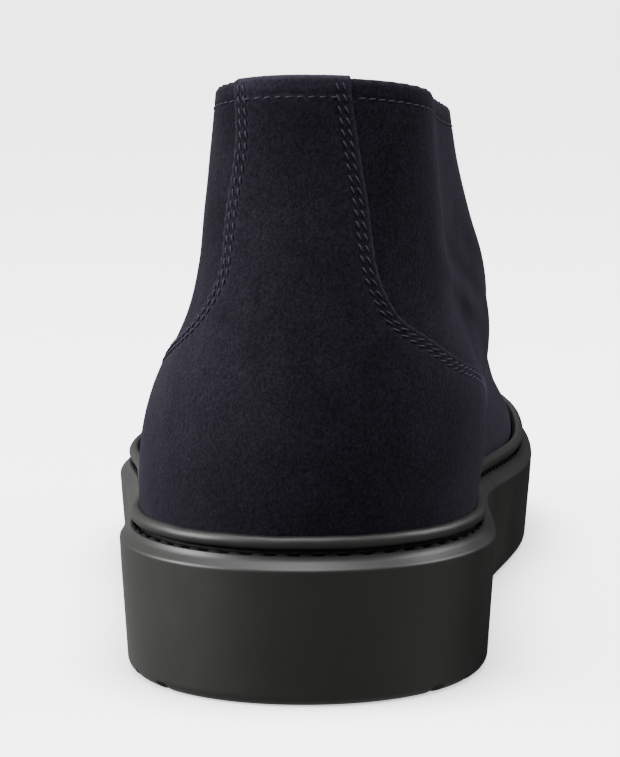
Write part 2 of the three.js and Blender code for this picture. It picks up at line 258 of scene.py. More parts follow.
def gapTurn(row, side, extra=0):
    # how far in turn the throat's edge lies from the instep's middle
    row = np.asarray(row, float)
    wide = blend(seams["gap"][0], seams["gap"][1], np.clip((row - seams["gapRows"][0]) / 3, 0, 1.2)) + extra
    low = np.clip((row - seams["throatRow"]) / seams["throatRound"], 0, 1)
    wide = wide * np.sqrt(1 - (1 - low) ** 2)
    middle = rawFace(row, half)[..., 0]
    near, far = np.zeros_like(row), np.full_like(row, 1.2)
    for _ in range(24):
        centre = (near + far) / 2
        short = np.abs(rawFace(row, half - side * centre)[..., 0] - middle) < wide
        near, far = np.where(short, centre, near), np.where(short, far, centre)
    return near


def runLength(points):
    # how far along a line each of its points lies
    return np.concatenate(([0], np.cumsum(np.linalg.norm(np.diff(points, axis=0), axis=1))))


def sampled(at, knots, values):
    return np.stack([np.interp(at, knots, part) for part in values.T], -1)


def atShare(curve, share):
    return sampled(share, np.linspace(0, 1, len(curve)), curve)


def stretch(row, turn, count):
    # a (row, turn) curve with its points spread evenly along its length
    length = runLength(onUpper(row, turn, 0, False)[0])
    return sampled(np.linspace(0, 1, count) * length[-1], length, np.stack([row, turn], -1))


def panelSeam(side, low, high):
    row = np.linspace(low, high, 400)
    return stretch(row, side * panelTurn(row, side), 400)


def quarterEdge(side):
    # from under the back panel forward and up to the throat
    t = np.linspace(0, 1, 300)
    steps = np.linspace(0, 1, len(seams["quarterRow"]))
    row = spline(t, steps, seams["quarterRow"])
    return stretch(row, side * spline(t, steps, seams["quarterTurn"]), 300)


def throatEdge(side, fromRow):
    row = np.linspace(fromRow, collarRow, 200)
    return stretch(row, side * (half - gapTurn(row, side)), 200)


def inset(curve, distance):
    # a curve beside another on the face, to its left when looking along it from outside
    step = 0.01
    row, turn = curve.T
    point = rawFace(row, turn)
    byRow = (rawFace(row + step, turn) - rawFace(row - step, turn)) / (2 * step)
    byTurn = (rawFace(row, turn + step) - rawFace(row, turn - step)) / (2 * step)
    normal = normalise(np.cross(byTurn, byRow))
    along = normalise(np.gradient(point, axis=0))
    move = np.cross(normal, along) * distance
    a, b, c = (byRow * byRow).sum(-1), (byRow * byTurn).sum(-1), (byTurn * byTurn).sum(-1)
    p, q = (move * byRow).sum(-1), (move * byTurn).sum(-1)
    determinant = a * c - b * b
    return np.stack([row + (c * p - b * q) / determinant, turn + (a * q - b * p) / determinant], -1)


def distanceTo(points, curve):
    # from each point to a (row, turn) curve on the bare face
    line = rawFace(*curve.T) + shift
    flat = points.reshape(-1, 3)
    nearest = np.full(len(flat), 1e9)
    for start in range(0, len(flat), 4000):
        part = flat[start:start + 4000]
        away = np.linalg.norm(part[:, None] - line[None, ::2], axis=-1)
        nearest[start:start + 4000] = away.min(1)
    return nearest.reshape(points.shape[:-1])


# mesh helpers
def newMesh(name, points, faces):
    mesh = bpy.data.meshes.new(name)
    mesh.from_pydata((np.asarray(points, float).reshape(-1, 3) * mm).tolist(), [], faces)
    return mesh


def newObject(name, data):
    thing = bpy.data.objects.new(name, data)
    bpy.context.scene.collection.objects.link(thing)
    return thing


def makeObject(name, points, faces, material, slotName, nodes=()):
    mesh = newMesh(name, points, faces)
    mesh.validate()
    mesh.shade_smooth()
    piece = newObject(name, mesh)
    mesh.materials.append(material)
    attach(piece, "root")
    if nodes:
        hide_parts(*nodes)
    return piece


def markWear(piece, values):
    # how rubbed the nap is at each point of the piece's outer face
    wear = piece.data.attributes.new("wear", "FLOAT", "POINT")
    flat = np.zeros(len(piece.data.vertices))
    flat[:values.size] = values.reshape(-1)
    wear.data.foreach_set("value", flat)


def gridFaces(rows, columns, wrapRows=False, wrapColumns=False, offset=0, flip=False):
    faces = []
    for r in range(rows if wrapRows else rows - 1):
        for c in range(columns if wrapColumns else columns - 1):
            a, b = r * columns + c, r * columns + (c + 1) % columns
            d, e = (r + 1) % rows * columns + c, (r + 1) % rows * columns + (c + 1) % columns
            face = (a, b, e, d) if not flip else (a, d, e, b)
            faces.append(tuple(offset + v for v in face))
    return faces


def tubeFaces(rings, sides, offset=0):
    # a tube of rings, closed at both ends
    end = offset + (rings - 1) * sides
    caps = [tuple(offset + v for v in range(sides - 1, -1, -1)), tuple(end + v for v in range(sides))]
    return gridFaces(rings, sides, wrapColumns=True, offset=offset) + caps


def slab(outer, inner):
    # a closed sheet between two grids of points
    rows, columns = outer.shape[:2]
    count = rows * columns
    faces = gridFaces(rows, columns) + gridFaces(rows, columns, offset=count, flip=True)
    loop = list(range(columns)) + [r * columns + columns - 1 for r in range(1, rows)]
    loop += [(rows - 1) * columns + c for c in range(columns - 2, -1, -1)]
    loop += [r * columns for r in range(rows - 2, 0, -1)]
    for a, b in zip(loop, loop[1:] + loop[:1]):
        faces.append((a, a + count, b + count, b))
    return np.concatenate([outer.reshape(-1, 3), inner.reshape(-1, 3)]), faces


def weld(points, faces):
    # joins points that coincide, and drops the pair of faces that then lie inside
    _, first, back = np.unique(np.round(points, 3), axis=0, return_index=True, return_inverse=True)
    back = back.reshape(-1)
    joined, counts = [], {}
    for face in faces:
        face = tuple(dict.fromkeys(int(back[v]) for v in face))
        if len(face) > 2:
            joined.append(face)
            counts[frozenset(face)] = counts.get(frozenset(face), 0) + 1
    return points[first], [face for face in joined if counts[frozenset(face)] == 1]


def ringBody(rings, closed=True):
    rings = np.asarray(rings)
    return rings, gridFaces(rings.shape[0], rings.shape[1], wrapRows=closed, wrapColumns=True)


def edgeRise(distance, radius):
    t = np.clip(distance / radius, 0, 1)
    return np.sqrt(1 - (1 - t) ** 2)


def packed(count, edge, share):
    # 0 to 1 with the steps drawn together at both ends: share of the steps lie in edge of the length
    t = np.linspace(0, 1, count)
    middle = edge + (t - share) / (1 - 2 * share) * (1 - 2 * edge)
    return np.where(t < share, t / share * edge, np.where(t > 1 - share, 1 - (1 - t) / share * edge, middle))


# finishes
class Signal:
    # a shader socket in a sum: each operator adds its Math node
    def __init__(self, finish, socket):
        self.finish = finish
        self.socket = socket

    def maths(self, operation, *values):
        return self.finish.add("ShaderNodeMath", {"operation": operation}, dict(enumerate(values)))

    def __add__(self, other):
        return self.maths("ADD", self, other)

    def __sub__(self, other):
        return self.maths("SUBTRACT", self, other)

    def __rsub__(self, other):
        return self.maths("SUBTRACT", other, self)

    def __mul__(self, other):
        return self.maths("MULTIPLY", self, other)

    __radd__ = __add__
    __rmul__ = __mul__

    def limited(self):
        return self.finish.add("ShaderNodeClamp", {}, {0: self})


class Finish:
    # the nodes of a material, or of the world
    def __init__(self, owner, shader="Principled BSDF", place="Object"):
        owner.use_nodes = True
        self.owner = owner
        self.tree = owner.node_tree
        self.shader = self.tree.nodes[shader]
        self.place = self.add("ShaderNodeTexCoord", {}, {}, place)

    def add(self, kind, settings, sockets, output=0):
        node = self.tree.nodes.new(kind)
        for key, value in settings.items():
            setattr(node, key, value)
        for key, value in sockets.items():
            self.set(node.inputs[key], value)
        return Signal(self, node.outputs[output])

    def set(self, socket, value):
        if isinstance(value, Signal):
            self.tree.links.new(value.socket, socket)
        else:
            socket.default_value = value

    def surface(self, **values):
        for key, value in values.items():
            self.set(self.shader.inputs[key.replace("_", " ")], value)

    def noise(self, size, detail=3, roughness=0.55, place=None, distortion=0):
        # size is the width of a patch in millimetres
        sockets = {"Vector": place or self.place, "Scale": 1 / (size * mm), "Detail": detail}
        sockets.update({"Roughness": roughness, "Distortion": distortion})
        return self.add("ShaderNodeTexNoise", {}, sockets, 0)

    def spread(self, signal, low, high, start=0.0, end=1.0):
        sockets = {0: signal, 1: low, 2: high, 3: start, 4: end}
        return self.add("ShaderNodeMapRange", {"clamp": True}, sockets)

    def mix(self, factor, a, b):
        return self.add("ShaderNodeMix", {"data_type": "RGBA"}, {0: factor, 6: a, 7: b}, 2)

    def vector(self, operation, value, output=0):
        return self.add("ShaderNodeVectorMath", {"operation": operation}, {0: self.place, 1: value}, output)

    def squeeze(self, factors):
        return self.vector("MULTIPLY", factors)

    def along(self, direction):
        return self.vector("DOT_PRODUCT", direction, 1)

    def bump(self, height, strength, distance, normal=None):
        sockets = {"Strength": strength, "Distance": distance * mm, "Height": height}
        if normal:
            sockets["Normal"] = normal
        return self.add("ShaderNodeBump", {}, sockets)


def newFinish(name):
    return Finish(bpy.data.materials.new(name))


def colour(red, green, blue):
    return (red, green, blue, 1)


suede = {
    "deep": colour(0.0037, 0.0034, 0.0052),
    "mid": colour(0.007, 0.0064, 0.0098),
    "brushed": colour(0.0235, 0.0214, 0.0322),
    "patch": 26, "tuft": 1.3, "fibre": 0.65, "grain": 0.45,
}


def suedeFinish(name, lift=0.0, drag=(1, 1, 1)):
    finish = newFinish(name)
    place = finish.squeeze(drag)
    broad = finish.noise(suede["patch"] * 1.7, 2, 0.5, place, 0.6)
    patches = finish.noise(suede["patch"] * 0.55, 4, 0.62, place, 1.2)
    grain = finish.noise(suede["grain"], 2, 0.7)
    fibre = finish.noise(suede["fibre"], 3, 0.7, finish.squeeze((1, 1, 0.7)))
    tuft = finish.noise(suede["tuft"], 3, 0.7, place, 1.5)
    nap = finish.spread(broad * 0.45 + patches * 0.4 + tuft * 0.15 + lift, 0.38, 0.64)
    speck = finish.spread(grain * 0.4 + fibre * 0.42 + tuft * 0.18, 0.42, 0.64)
    wear = finish.add("ShaderNodeAttribute", {"attribute_name": "wear"}, {}, "Fac")
    body = finish.mix(nap, suede["deep"], suede["mid"])
    worn = (wear * (fibre * 1.4 + tuft * 0.6 - 0.35)).limited()
    tone = finish.mix((speck * (nap * 0.5 + 0.35) + worn).limited(), body, suede["brushed"])
    dents = finish.bump(patches, 0.25, 0.5)
    fuzz = finish.bump(fibre * 0.8 + grain * 0.5 + tuft * 0.3, 1.0, 0.26, dents)
    finish.surface(Base_Color=tone, Roughness=finish.spread(nap, 0, 1, 0.98, 0.86), Normal=fuzz)
    finish.surface(Sheen_Weight=0.1, Sheen_Roughness=0.4, Sheen_Tint=colour(0.42, 0.39, 0.55))
    finish.surface(Specular_IOR_Level=0.05)
    return finish.owner


rubber = {"deep": colour(0.0048, 0.005, 0.0044), "worn": colour(0.0074, 0.0076, 0.0067), "wear": 0.05}


def rubberFinish(name, roughness):
    finish = newFinish(name)
    mottle = finish.noise(30, 4, 0.6)
    fine = finish.noise(0.35, 2, 0.5)
    swell = finish.noise(9, 2, 0.5)
    shiny, dull = roughness - rubber["wear"], roughness + rubber["wear"]
    finish.surface(Base_Color=finish.mix(finish.spread(mottle, 0.35, 0.7), rubber["deep"], rubber["worn"]))
    finish.surface(Roughness=finish.spread(mottle, 0.3, 0.7, shiny, dull))
    finish.surface(Normal=finish.bump(fine, 0.12, 0.06, finish.bump(swell, 0.1, 0.4)))
    finish.surface(Specular_IOR_Level=0.5)
    return finish.owner


def leatherFinish(name, dark, light, roughness=0.55, pebble=1.1):
    finish = newFinish(name)
    sockets = {"Vector": finish.place, "Scale": 1 / (pebble * mm)}
    pebbles = finish.add("ShaderNodeTexVoronoi", {"feature": "F1"}, sockets)
    broad = finish.noise(18, 3)
    base = finish.mix(finish.spread(broad, 0.3, 0.7), dark, light)
    finish.surface(Base_Color=base, Roughness=finish.spread(broad, 0.3, 0.7, roughness, roughness + 0.12))
    finish.surface(Normal=finish.bump(pebbles, 0.25, 0.12))
    return finish.owner


def threadFinish(name, tone, twist=0.35):
    finish = newFinish(name)
    strands = finish.noise(twist, 2, 0.6)
    dark = tuple(c * 0.55 for c in tone[:3]) + (1,)
    finish.surface(Base_Color=finish.mix(strands, dark, tone))
    finish.surface(Roughness=finish.spread(strands, 0.3, 0.7, 0.7, 0.85))
    finish.surface(Normal=finish.bump(strands, 0.4, 0.08))
    finish.surface(Specular_IOR_Level=0.15)
    return finish.owner


def braidFinish(name, dark, light, pitch=1.3):
    # two sets of slanting strands that cross over each other; the tone is darker in the gaps between the
    # strands, a painted shade
    finish = newFinish(name)
    strands = []
    for slant in (1, -1):
        wound = finish.along((1, slant * 0.62, -slant * 0.62)) * (full / (pitch * mm))
        strands.append(wound.maths("SINE", wound) * 0.5 + 0.5)
    fuzz = finish.noise(0.3, 2, 0.6)
    weave = finish.add("ShaderNodeMath", {"operation": "MAXIMUM"}, {0: strands[0], 1: strands[1]})
    # darker where the weave is low, in the gaps between the strands: painted shade
    tone = finish.mix((weave * 0.8 + fuzz * 0.4 - 0.1).limited(), dark, light)
    finish.surface(Base_Color=tone, Roughness=0.85, Normal=finish.bump(weave + fuzz * 0.3, 0.8, 0.16))
    finish.surface(Specular_IOR_Level=0.15)
    return finish.owner


materials = {
    "vamp": suedeFinish("suedeVamp", 0.0, (1, 0.7, 1)),
    "quarter": suedeFinish("suedeQuarter", -0.02, (1, 1, 0.6)),
    "panel": suedeFinish("suedePanel", 0.03, (1, 1, 0.75)),
    "tongue": suedeFinish("suedeTongue", 0.0),
    "sole": rubberFinish("rubberSole", 0.46),
    "welt": rubberFinish("rubberWelt", 0.5),
    "lining": leatherFinish("liningLeather", colour(0.024, 0.0215, 0.02), colour(0.036, 0.032, 0.029)),
    "footbed": leatherFinish("footbedLeather", colour(0.022, 0.018, 0.016), colour(0.034, 0.028, 0.024), 0.5),
    "thread": threadFinish("seamThread", colour(0.046, 0.043, 0.072)),
    "soleThread": threadFinish("soleThread", colour(0.0035, 0.0035, 0.0035)),
    "lace": braidFinish("laceCotton", colour(0.006, 0.0056, 0.008), colour(0.024, 0.0225, 0.032)),
}
print("finishes made")


# the camera and the studio
view = {"stand": (39.3, -680, 158.3), "aim": (2.5, -102, 65.7), "lens": 187, "sensor": 36}


def facing(place, aim):
    # the rotation that points a camera or a lamp from a place to its aim
    toward = np.array(aim) - np.array(place)
    rise = math.atan2(toward[2], math.hypot(toward[0], toward[1]))
    return math.pi / 2 + rise, 0, math.atan2(-toward[0], toward[1])


def addCamera():
    camera = bpy.data.cameras.new("camera")
    camera.lens = view["lens"]
    camera.sensor_width = view["sensor"]
    camera.sensor_fit = "HORIZONTAL"
    camera.clip_start = 0.01
    camera.clip_end = 20
    place = (np.array(view["stand"]) + shift) * mm
    stand = newObject("camera", camera)
    stand.location = place
    stand.rotation_euler = facing(place, np.array(view["aim"]) * mm)
    bpy.context.scene.camera = stand


studio = {
    "floorTone": colour(0.9, 0.9, 0.9), "glow": 3.0, "sky": 0.5,
    # shade and shadeReach set the painted contact shadow in the floor's glow colour
    "shade": colour(0.3, 0.3, 0.3), "shadeReach": 20,
    "skyTone": colour(1, 1, 0.97), "skyDark": colour(0.05, 0.05, 0.05),
    "darkToward": (0.5, 0.86, 0), "darkFrom": (0.66, 0.92),
    "sun": {"strength": 1.7, "angle": 50, "tilt": (-6, -10)},
    "lamps": (
        {"name": "above", "at": (0.0, -0.45, 1.2), "aim": (0, -0.14, 0.03), "size": 0.9, "power": 16},
        {"name": "left", "at": (-1.3, -0.25, 0.6), "aim": (0, -0.1, 0.06), "size": 0.8, "power": 42},
        {"name": "right", "at": (1.2, 0.3, 0.9), "aim": (0, -0.05, 0.06), "size": 0.8, "power": 16},
    ),
}


def addFloor():
    far = 40000
    mesh = newMesh("floor", [(-far, -far, 0), (far, -far, 0), (far, far, 0), (-far, far, 0)], [(0, 1, 2, 3)])
    floor = newObject("floor", mesh)
    finish = newFinish("floorPaper")
    tone = studio["floorTone"]
    darker = tuple(c * 0.985 for c in tone[:3]) + (1,)
    finish.surface(Base_Color=finish.mix(finish.noise(60, 2), tone, darker), Roughness=0.9)
    # the paper glows a little, and less so close to the sole: an occlusion node darkens its glow colour
    # there, a painted contact shadow.
    # The boot is lit by the air below it rather than by the paper
    sockets = {"Distance": studio["shadeReach"] * mm}
    # the glow colour falls to the shade tone where the sole is close: painted contact shadow
    openness = finish.add("ShaderNodeAmbientOcclusion", {"samples": 12}, sockets, 1)
    glow = finish.mix(finish.spread(openness, 0.45, 1.0), studio["shade"], colour(1, 1, 1))
    finish.surface(Emission_Color=glow, Emission_Strength=studio["glow"])
    floor.visible_diffuse = False
    floor.visible_glossy = False
    mesh.materials.append(finish.owner)


def addLamps():
    for lamp in studio["lamps"]:
        light = bpy.data.lights.new(lamp["name"], "AREA")
        light.energy = lamp["power"]
        light.size = lamp["size"]
        holder = newObject(lamp["name"], light)
        holder.location = lamp["at"]
        holder.rotation_euler = facing(lamp["at"], lamp["aim"])
    sun = bpy.data.lights.new("sun", "SUN")
    sun.energy = studio["sun"]["strength"]
    sun.angle = math.radians(studio["sun"]["angle"])
    newObject("sun", sun).rotation_euler = tuple(math.radians(a) for a in studio["sun"]["tilt"]) + (0,)


def addAir():
    # the air is bright all round but for the front right, as beside a dark wall
    world = bpy.data.worlds.new("studioAir")
    air = Finish(world, "Background", "Generated")
    dark = air.spread(air.along(studio["darkToward"]), *studio["darkFrom"])
    air.surface(Color=air.mix(dark, studio["skyTone"], studio["skyDark"]), Strength=studio["sky"])
    bpy.context.scene.world = world


addCamera()
addFloor()
addLamps()
addAir()
print("camera and studio placed")


# the sole
def groundHeight(fromHeel):
    spring = np.maximum(0, (fromHeel - sole["toeSpringFrom"]) / (last["length"] - sole["toeSpringFrom"]))
    return sole["toeSpring"] * spring ** 2


def ringAt(out, heights, up):
    # the outline of the upper's foot moved out level, at a distance above a curve of heights
    ring = levelRing(fineTurns, out)
    ring[:, 2] = heights(ring[:, 1]) + up
    return ring + shift


def rimRing(out, up=0):
    return ringAt(out, rimHeight, up)


def groundRing(out, up=0):
    return ringAt(out, groundHeight, up)


def acrossFaces(start, count, up):
    faces = []
    for i in range(count // 2):
        corners = (i, i + 1, (count - i - 1) % count, (count - i) % count)
        face = list(dict.fromkeys(start + c for c in corners))
        faces.append(tuple(face if up else face[::-1]))
    return faces


def boxPoints(low, high):
    return [(x, y, z) for z in (low[2], high[2]) for y in (low[1], high[1]) for x in (low[0], high[0])]


def grooveCutter():
    points, faces = [], []
    sides = ((0, 2, 3, 1), (4, 5, 7, 6), (0, 1, 5, 4), (2, 6, 7, 3), (0, 4, 6, 2), (1, 3, 7, 5))
    tread, arch = sole["tread"], sole["arch"]
    cuts = [(arch["from"], arch["to"], arch["depth"])]
    for start, end in tread["runs"]:
        for at in np.arange(start, end, tread["pitch"]):
            cuts.append((at, at + tread["groove"], tread["depth"] + float(groundHeight(at))))
    for start, end, depth in cuts:
        base = len(points)
        points += boxPoints((-90, start + shift[1], -5), (90, end + shift[1], depth))
        faces += [tuple(base + v for v in side) for side in sides]
    return newObject("grooveCutter", newMesh("grooveCutter", points, faces))


def arc(centre, radius, start, end, count):
    angles = np.radians(np.linspace(start, end, count))
    return [(centre[0] + radius * math.cos(a), centre[1] + radius * math.sin(a)) for a in angles]


def makeSole():
    foot = sole["edge"] - sole["taper"]
    radius = sole["bottomRadius"]
    rings = [groundRing(foot - radius + out, radius + up) for out, up in arc((0, 0), radius, -90, 0, 9)]
    for share in (0.35, 0.6, 0.8):
        out = foot + sole["taper"] * share
        rings.append(blend(groundRing(out, radius), rimRing(out, -sole["shoulder"]), share))
    # the shoulder, the soft chamfer and the stitched groove, as (out, height from the rim)
    drop = sole["chamferDrop"]
    top = arc((sole["edge"] - 1.0, -drop - 0.35), 1.0, -10, 52, 6)
    top += [(4.1, -drop + 1.35), (3.45, -drop + 2.05)] + arc((sole["ledge"] + 0.25, -0.5), 0.5, 50, 180, 5)
    top += [(2.05, -sole["grooveDepth"]), (sole["grooveIn"], -sole["grooveDepth"]), (0.7, -0.4), (0.5, 0)]
    rings += [rimRing(out, up) for out, up in top + [(0.4, -sole["cupDepth"])]]
    count = len(fineTurns)
    points, faces = ringBody(rings, closed=False)
    faces += acrossFaces(0, count, False) + acrossFaces((len(rings) - 1) * count, count, True)
    piece = makeObject("cupSole", points, faces, materials["sole"], "rubber", ("outsole",))
    cutter = grooveCutter()
    cut = piece.modifiers.new("tread", "BOOLEAN")
    cut.operation, cut.solver, cut.object = "DIFFERENCE", "EXACT", cutter
    graph = bpy.context.evaluated_depsgraph_get()
    carved = bpy.data.meshes.new_from_object(piece.evaluated_get(graph))
    piece.modifiers.clear()
    piece.data = carved
    bpy.data.objects.remove(cutter)
    sharpen(piece, 38)


def sharpen(piece, degrees):
    # faces that meet at more than this angle keep a crisp edge
    piece.data.shade_smooth()
    piece.data.set_sharp_from_angle(angle=math.radians(degrees))


welt = {"reach": 3.2, "height": 4.2, "neck": 1.0, "inner": 0.2, "ripple": 0.05}


def makeWelt():
    roll = (welt["height"] - welt["neck"]) / 2
    centre = (welt["reach"] - roll, welt["neck"] + roll)
    profile = [(welt["inner"], -0.6), (1.2, -0.6), (1.25, 0.5)] + arc(centre, roll, -100, 118, 16)
    profile += [(0.7, welt["height"] - 0.75), (welt["inner"], welt["height"] - 1.3)]
    ripple = welt["ripple"] * (np.sin(fineTurns * 23) + 0.6 * np.sin(fineTurns * 57 + 1))
    rings = []
    for out, up in profile:
        ring = rimRing(out, up)
        ring[:, 2] += ripple * smooth(up / 2)
        rings.append(ring)
    makeObject("weltBead", *ringBody(rings), materials["welt"], "rubber", ("welt",))


soleStitch = {"out": 2.35, "up": -0.55, "pitch": 5.3, "length": 4.5, "radius": 0.5, "rise": 0.5}
seamStitch = {"pitch": 2.5, "length": 1.9, "radius": 0.22, "rise": 0.16, "slant": 0.3}
topStitch = {"pitch": 2.3, "length": 1.75, "radius": 0.19, "rise": 0.1, "slant": 0.1}
# how full the thread is along a stitch, as a share of its radius
stitchWidths = np.array([0.45, 0.85, 1.0, 1.0, 1.0, 0.85, 0.45])
stitchSides = 6


def stitchRun(points, normals, size, loop=False):
    # short loops of thread at an even pitch along a line; each dives in at its ends
    if loop:
        points, normals = np.vstack([points, points[:1]]), np.vstack([normals, normals[:1]])
    length = runLength(points)
    count = max(1, int(length[-1] // size["pitch"]))
    middles = (np.arange(count) + 0.5) * (length[-1] / count)
    rings = len(stitchWidths)
    along = np.linspace(-0.5, 0.5, rings)
    at = middles[:, None] + along * size["length"]
    centre, normal = sampled(at, length, points), normalise(sampled(at, length, normals))
    side = normalise(np.cross(normal, normalise(centre[:, -1:] - centre[:, :1])))
    lift = size["rise"] - (size["rise"] + size["radius"]) * (2 * along) ** 4
    slant = size.get("slant", 0) * 2 * along
    centre = centre + normal * lift[:, None] + side * slant[:, None]
    angles = np.linspace(0, full, stitchSides + 1)[:-1, None]
    outward = side[:, :, None] * np.cos(angles) + normal[:, :, None] * np.sin(angles)
    body = centre[:, :, None] + (size["radius"] * stitchWidths)[:, None, None] * outward
    faces = []
    for i in range(count):
        faces += tubeFaces(rings, stitchSides, i * rings * stitchSides)
    return body.reshape(-1, 3), faces


def makeStitches(name, runs, size, material, loop=False):
    points, faces = [], []
    for line, normals in runs:
        ringPoints, ringFaces = stitchRun(line, normals, size, loop)
        base = sum(len(part) for part in points)
        points.append(ringPoints)
        faces += [tuple(base + v for v in face) for face in ringFaces]
    return makeObject(name, np.concatenate(points), faces, material, "thread")


def makeSoleStitches():
    line = rimRing(soleStitch["out"], soleStitch["up"])
    outward = normalise(rimRing(4) - rimRing(0))
    tilted = normalise(outward * 0.4 + np.array((0, 0, 1)))
    makeStitches("soleStitches", [(line, tilted)], soleStitch, materials["soleThread"], loop=True)


makeSole()
makeWelt()
makeSoleStitches()
print("sole, welt and groove stitches made")

# the upper's layers, by how far each stands out of the face
layers = {
    "vamp": -0.3, "quarter": 0.4, "panel": 1.0, "edge": 0.5, "roll": 1.1, "rollTo": -1.1, "lining": -2.45,
    "seamRows": (1.5, 2.9), "dent": 0.24, "dentWidth": 0.55, "topDent": 0.7,
    "collarStitch": 4.2, "throatStitch": 2.2, "least": 0.1,
}


def seamDents(distance, rows=layers["seamRows"]):
    return sum(layers["dent"] * np.exp(-((distance - row) / layers["dentWidth"]) ** 2) for row in rows)


def collarEdge(start, end, row=collarRow):
    turn = np.linspace(start, end, 600)
    return np.stack([np.full_like(turn, row), turn], -1)


def rollIn(distance, sheet):
    return (layers[sheet] - layers["rollTo"]) * (edgeRise(distance, layers["roll"]) - 1)


def rubbed(distance, reach, amount):
    return amount * np.exp(-(distance / reach) ** 2)


# for each sheet: how its points are packed, how far under the upper's face it reaches, and its rubs
# as (reach, amount)
panelSheet = {
    "upward": (190, 0.06, 0.16), "around": (170, 0.1, 0.33), "fromRow": 1.0, "over": 0.045,
    "collarTurn": 0.6, "under": -0.6, "seamRubs": ((0.7, 0.8), (5, 0.25)), "collarRub": (3.6, 1.1),
}


def makePanel():
    b = packed(*panelSheet["upward"])[:, None]
    a = packed(*panelSheet["around"])[None]
    top = collarRow + panelSheet["over"]
    left, right = (panelSeam(side, panelSheet["fromRow"], top) for side in (-1, 1))
    sheet = blend(atShare(left, b), atShare(right, b), a[..., None])
    row, turn = np.moveaxis(sheet, -1, 0)
    bare = onUpper(row, turn, 0, False)[0]
    seam = np.minimum(distanceTo(bare, left), distanceTo(bare, right))
    collar = distanceTo(bare, collarEdge(-panelSheet["collarTurn"], panelSheet["collarTurn"], top))
    out = layers["panel"] * edgeRise(seam, layers["edge"]) - seamDents(seam)
    out = out - seamDents(collar, (layers["collarStitch"],)) * layers["topDent"]
    out = out + rollIn(collar, "panel")
    outer = onUpper(row, turn, out)[0]
    inner = onUpper(row, turn, np.minimum(out - layers["least"], panelSheet["under"]))[0]
    piece = makeObject("backPanel", *slab(outer, inner), materials["panel"], "suede", ("back_panel",))
    wear = sum(rubbed(seam, *rub) for rub in panelSheet["seamRubs"])
    markWear(piece, wear + rubbed(collar, *panelSheet["collarRub"]))


eyelets = {"rows": (7.7, 8.7, 9.6), "fromEdge": 8, "radius": 1.9, "sink": 1.7, "rim": 0.22}


def eyeletTurn(row, side):
    return side * (half - float(gapTurn(np.array(float(row)), side, eyelets["fromEdge"])))


def eyeletDents(bare, side):
    # each punched hole as a steep dimple, with the suede swollen a little round it
    press = np.zeros(bare.shape[:2])
    for row in eyelets["rows"]:
        away = np.linalg.norm(bare - onUpper(row, eyeletTurn(row, side), 0, False)[0], axis=-1)
        press += eyelets["sink"] * (1 - smooth((away - eyelets["radius"] + 0.7) / 1.1))
        press -= eyelets["rim"] * np.exp(-((away - eyelets["radius"] - 0.9) / 0.6) ** 2)
    return press


quarterSheet = {
    "upward": (140, 0.08, 0.2), "around": (220, 0.06, 0.13), "under": -0.5,
    "lowRub": (0.6, 0.7), "rollRub": (1.6, 0.5),
}


def makeQuarter(side, name):
    b = packed(*quarterSheet["upward"])[:, None]
    a = packed(*quarterSheet["around"])[None]
    bottom = quarterEdge(side)
    rowsBack = np.linspace(seams["quarterRow"][0], collarRow, 200)
    back = stretch(rowsBack, side * (panelTurn(rowsBack, side) - seams["underlap"]), 200)
    bottom[0] = back[0]
    front = throatEdge(side, seams["quarterRow"][-1])
    front[0] = bottom[-1]
    top = stretch(*collarEdge(back[-1, 1], front[-1, 1]).T, 300)
    # the sheet that spans the four edges
    across, upward = a[..., None], b[..., None]
    sheet = blend(atShare(back, b), atShare(front, b), across)
    sheet = sheet + blend(atShare(bottom, a), atShare(top, a), upward)
    sheet = sheet - blend(blend(bottom[0], bottom[-1], across), blend(top[0], top[-1], across), upward)
    row, turn = np.moveaxis(sheet, -1, 0)
    bare = onUpper(row, turn, 0, False)[0]
    low = distanceTo(bare, bottom)
    rolled = np.minimum(distanceTo(bare, front), distanceTo(bare, top))
    collar = distanceTo(bare, top)
    throat = distanceTo(bare, front)
    out = blend(layers["vamp"], layers["quarter"], edgeRise(low, layers["edge"])) - seamDents(low)
    stitched = seamDents(collar, (layers["collarStitch"],)) + seamDents(throat, (layers["throatStitch"],))
    out = out - stitched * layers["topDent"] - eyeletDents(bare, side)
    out = out + rollIn(rolled, "quarter")
    outer = onUpper(row, turn, out)[0]
    wear = rubbed(low, *quarterSheet["lowRub"]) + rubbed(rolled, *quarterSheet["rollRub"])
    inner = onUpper(row, turn, np.minimum(out - layers["least"], quarterSheet["under"]))[0]
    if side < 0:
        outer, inner, wear = outer[:, ::-1], inner[:, ::-1], wear[:, ::-1]
    markWear(makeObject(name, *slab(outer, inner), materials["quarter"], "suede"), wear)


def openTurns(row, a, extra):
    # turns from one edge of the throat round the heel to the other; below the throat they meet at the toe
    reachIn = half - gapTurn(row, 1, extra)
    reachOut = half - gapTurn(row, -1, extra)
    return blend(-reachOut, reachIn, a)


# the vamp draws back beside the throat, and its edge across the throat's foot is tucked in
vampSheet = {
    "rows": (0.9, 7.6, 120), "around": 301, "thick": 0.6, "back": 1.6, "backRows": (6.95, 0.3),
    "lip": {
        "over": 0.02, "rowHeight": 11, "turn": 0.25, "fade": 0.1, "round": 1.3, "depth": 0.9, "rows": 0.14,
    },
}


